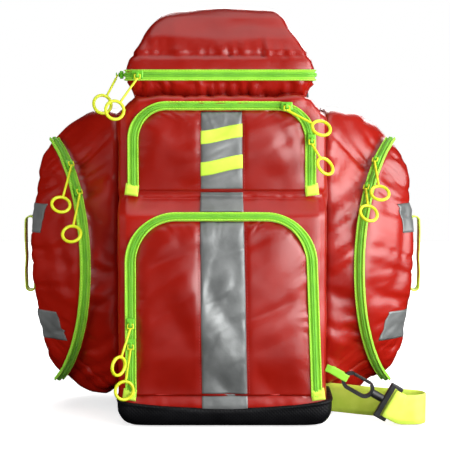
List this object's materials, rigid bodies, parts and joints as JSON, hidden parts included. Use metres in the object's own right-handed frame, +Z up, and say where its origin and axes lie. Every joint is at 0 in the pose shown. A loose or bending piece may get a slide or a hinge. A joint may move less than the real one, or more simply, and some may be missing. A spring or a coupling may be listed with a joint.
{
  "type": "trauma backpack",
  "caption": "Emergency responder backpack with a hood, two arched front compartments, bulging zipped side pockets, a rubber boot, a shoulder harness and a clip-on tether strap.",
  "frame": {"origin": "centre of the flat underside of the boot, on the surface that the bag stands on", "axes": "+Z up, -Y towards the zipped front, +X to the right of someone looking at the front"},
  "size_m": [0.532, 0.3756, 0.53],
  "materials": {
    "red_fabric": "glossy coated",
    "red_door": "glossy coated",
    "boot_rubber": "textured matte",
    "lime_tape": "woven",
    "lime_slider": "painted",
    "pull_lime": "moulded",
    "lime_webbing": "woven webbing",
    "reflective": "retroreflective",
    "black_plastic": "moulded",
    "black_fabric": "padded mesh",
    "black_webbing": "woven webbing",
    "foam_board": "matte"
  },
  "bodies": {
    "pack": {"back_panel": "black_fabric", "base_boot": "boot_rubber", "compartment_divider": "foam_board", "frame_sheet": "foam_board", "front_zip_frame_tapes": "lime_tape", "haul_anchor": "black_webbing", "hood_tray": "red_fabric", "hood_tray_tape": "lime_tape", "hook_eye": "black_plastic", "hook_tab": "lime_webbing", "ladder_locks": "black_plastic", "left_pocket_shell": "red_fabric", "main_shell": "red_fabric", "middle_stripe": "reflective", "right_pocket_shell": "red_fabric", "shoulder_straps": "black_fabric", "side_zip_frame_tapes": "lime_tape", "strap_tails": "black_webbing", "tether_strap": "lime_webbing", "zip_end_tabs": "lime_webbing"},
    "upper_door": {"upper_door": "red_door", "upper_door_tape": "lime_tape", "upper_door_stripe": "reflective"},
    "lower_door": {"lower_door": "red_door", "lower_door_tape": "lime_tape", "lower_door_stripe": "reflective"},
    "hood_lid": {"hood_lid": "red_fabric", "hood_lid_tape": "lime_tape"},
    "right_pocket_door": {"right_pocket_door": "red_door", "right_pocket_door_tape": "lime_tape", "right_pocket_patches": "reflective", "right_side_handle": "lime_webbing"},
    "left_pocket_door": {"left_pocket_door": "red_door", "left_pocket_door_tape": "lime_tape", "left_pocket_patches": "reflective", "left_side_handle": "lime_webbing"},
    "haul_handle": {"haul_handle": "black_webbing"},
    "hook": {"hook_body": "black_plastic"},
    "gate": {"hook_gate": "black_plastic"},
    "hood_first_slider": {"hood_first_slider": "lime_slider"},
    "hood_first_pull": {"hood_first_pull": "pull_lime"},
    "hood_second_slider": {"hood_second_slider": "lime_slider"},
    "hood_second_pull": {"hood_second_pull": "pull_lime"},
    "upper_first_slider": {"upper_first_slider": "lime_slider"},
    "upper_first_pull": {"upper_first_pull": "pull_lime"},
    "upper_second_slider": {"upper_second_slider": "lime_slider"},
    "upper_second_pull": {"upper_second_pull": "pull_lime"},
    "lower_first_slider": {"lower_first_slider": "lime_slider"},
    "lower_first_pull": {"lower_first_pull": "pull_lime"},
    "lower_second_slider": {"lower_second_slider": "lime_slider"},
    "lower_second_pull": {"lower_second_pull": "pull_lime"},
    "left_side_first_slider": {"left_side_first_slider": "lime_slider"},
    "left_side_first_pull": {"left_side_first_pull": "pull_lime"},
    "left_side_second_slider": {"left_side_second_slider": "lime_slider"},
    "left_side_second_pull": {"left_side_second_pull": "pull_lime"},
    "right_side_first_slider": {"right_side_first_slider": "lime_slider"},
    "right_side_first_pull": {"right_side_first_pull": "pull_lime"},
    "right_side_second_slider": {"right_side_second_slider": "lime_slider"},
    "right_side_second_pull": {"right_side_second_pull": "pull_lime"}
  },
  "joints": [
    {"name": "upper_door_fold", "type": "hinge", "parent": "pack", "child": "upper_door", "pos_m": [0, -0.13, 0.304], "axis": [1, 0, 0], "range_deg": [0, 90]},
    {"name": "lower_door_fold", "type": "hinge", "parent": "pack", "child": "lower_door", "pos_m": [0, -0.148, 0.048], "axis": [1, 0, 0], "range_deg": [0, 90]},
    {"name": "hood_lid_fold", "type": "hinge", "parent": "pack", "child": "hood_lid", "pos_m": [0, 0.095, 0.449], "axis": [-1, 0, 0], "range_deg": [0, 90]},
    {"name": "right_pocket_door_swing", "type": "hinge", "parent": "pack", "child": "right_pocket_door", "pos_m": [0.2523, 0.03149, 0.197], "axis": [0, 0, 1], "range_deg": [0, 90]},
    {"name": "left_pocket_door_swing", "type": "hinge", "parent": "pack", "child": "left_pocket_door", "pos_m": [-0.2523, 0.03149, 0.197], "axis": [0, 0, -1], "range_deg": [0, 90]},
    {"name": "haul_handle_swing", "type": "hinge", "parent": "pack", "child": "haul_handle", "pos_m": [0, 0.137, 0.435], "axis": [-1, 0, 0], "range_deg": [-150, 0]},
    {"name": "hook_swivel", "type": "hinge", "parent": "pack", "child": "hook", "pos_m": [0.202, -0.136, 0.036], "axis": [0.866, 0, -0.5], "range_deg": [-8, 8]},
    {"name": "gate_open", "type": "hinge", "parent": "hook", "child": "gate", "pos_m": [0.18563, -0.136, 0.05665], "axis": [0, -1, 0], "range_deg": [0, 25], "stiffness_Nm_per_rad": 0.005, "springref_deg": -17.19},
    {"name": "hood_first_travel", "type": "slide", "parent": "pack", "child": "hood_first_slider", "axis": [-1, 0, 0], "range_m": [-0.16, 0]},
    {"name": "hood_first_pull_swing", "type": "hinge", "parent": "hood_first_slider", "child": "hood_first_pull", "pos_m": [-0.106, -0.1225, 0.443], "axis": [-1, 0, 0], "range_deg": [0, 90]},
    {"name": "hood_second_travel", "type": "slide", "parent": "pack", "child": "hood_second_slider", "axis": [0, 1, 0], "range_m": [0, 0.04]},
    {"name": "hood_second_pull_swing", "type": "hinge", "parent": "hood_second_slider", "child": "hood_second_pull", "pos_m": [-0.1325, -0.092, 0.443], "axis": [0, 1, 0], "range_deg": [0, 90]},
    {"name": "upper_first_travel", "type": "slide", "parent": "pack", "child": "upper_first_slider", "axis": [-1, 0, 0], "range_m": [0, 0.12]},
    {"name": "upper_first_pull_swing", "type": "hinge", "parent": "upper_first_slider", "child": "upper_first_pull", "pos_m": [0.08, -0.1405, 0.404], "axis": [-1, 0, 0], "range_deg": [0, 90]},
    {"name": "upper_second_travel", "type": "slide", "parent": "pack", "child": "upper_second_slider", "axis": [0, 0, -1], "range_m": [0, 0.035]},
    {"name": "upper_second_pull_swing", "type": "hinge", "parent": "upper_second_slider", "child": "upper_second_pull", "pos_m": [0.111, -0.1405, 0.362], "axis": [-1, 0, 0], "range_deg": [0, 75]},
    {"name": "lower_first_travel", "type": "slide", "parent": "pack", "child": "lower_first_slider", "axis": [0, 0, 1], "range_m": [0, 0.07]},
    {"name": "lower_first_pull_swing", "type": "hinge", "parent": "lower_first_slider", "child": "lower_first_pull", "pos_m": [-0.114, -0.1585, 0.134], "axis": [-1, 0, 0], "range_deg": [0, 90]},
    {"name": "lower_second_travel", "type": "slide", "parent": "pack", "child": "lower_second_slider", "axis": [0, 0, -1], "range_m": [0, 0.03]},
    {"name": "lower_second_pull_swing", "type": "hinge", "parent": "lower_second_slider", "child": "lower_second_pull", "pos_m": [-0.114, -0.1585, 0.108], "axis": [-1, 0, 0], "range_deg": [0, 90]},
    {"name": "left_side_first_travel", "type": "hinge", "parent": "pack", "child": "left_side_first_slider", "pos_m": [-0.2637, 0.065, 0.197], "axis": [-0.8762, -0.4819, 0], "range_deg": [0, 12]},
    {"name": "left_side_first_pull_swing", "type": "hinge", "parent": "left_side_first_slider", "child": "left_side_first_pull", "pos_m": [-0.19662, -0.05696, 0.33142], "axis": [-0.8762, -0.4819, 0], "range_deg": [0, 90]},
    {"name": "left_side_second_travel", "type": "hinge", "parent": "pack", "child": "left_side_second_slider", "pos_m": [-0.2637, 0.065, 0.197], "axis": [-0.8762, -0.4819, 0], "range_deg": [-70, 0]},
    {"name": "left_side_second_pull_swing", "type": "hinge", "parent": "left_side_second_slider", "child": "left_side_second_pull", "pos_m": [-0.18377, -0.08033, 0.29666], "axis": [-0.8762, -0.4819, 0], "range_deg": [0, 90]},
    {"name": "right_side_first_travel", "type": "hinge", "parent": "pack", "child": "right_side_first_slider", "pos_m": [0.2637, 0.065, 0.197], "axis": [-0.8762, 0.4819, 0], "range_deg": [0, 12]},
    {"name": "right_side_first_pull_swing", "type": "hinge", "parent": "right_side_first_slider", "child": "right_side_first_pull", "pos_m": [0.19892, -0.05278, 0.33619], "axis": [-0.8762, 0.4819, 0], "range_deg": [0, 90]},
    {"name": "right_side_second_travel", "type": "hinge", "parent": "pack", "child": "right_side_second_slider", "pos_m": [0.2637, 0.065, 0.197], "axis": [-0.8762, 0.4819, 0], "range_deg": [-70, 0]},
    {"name": "right_side_second_pull_swing", "type": "hinge", "parent": "right_side_second_slider", "child": "right_side_second_pull", "pos_m": [0.18549, -0.07719, 0.30239], "axis": [-0.8762, 0.4819, 0], "range_deg": [0, 90]}
  ]
}
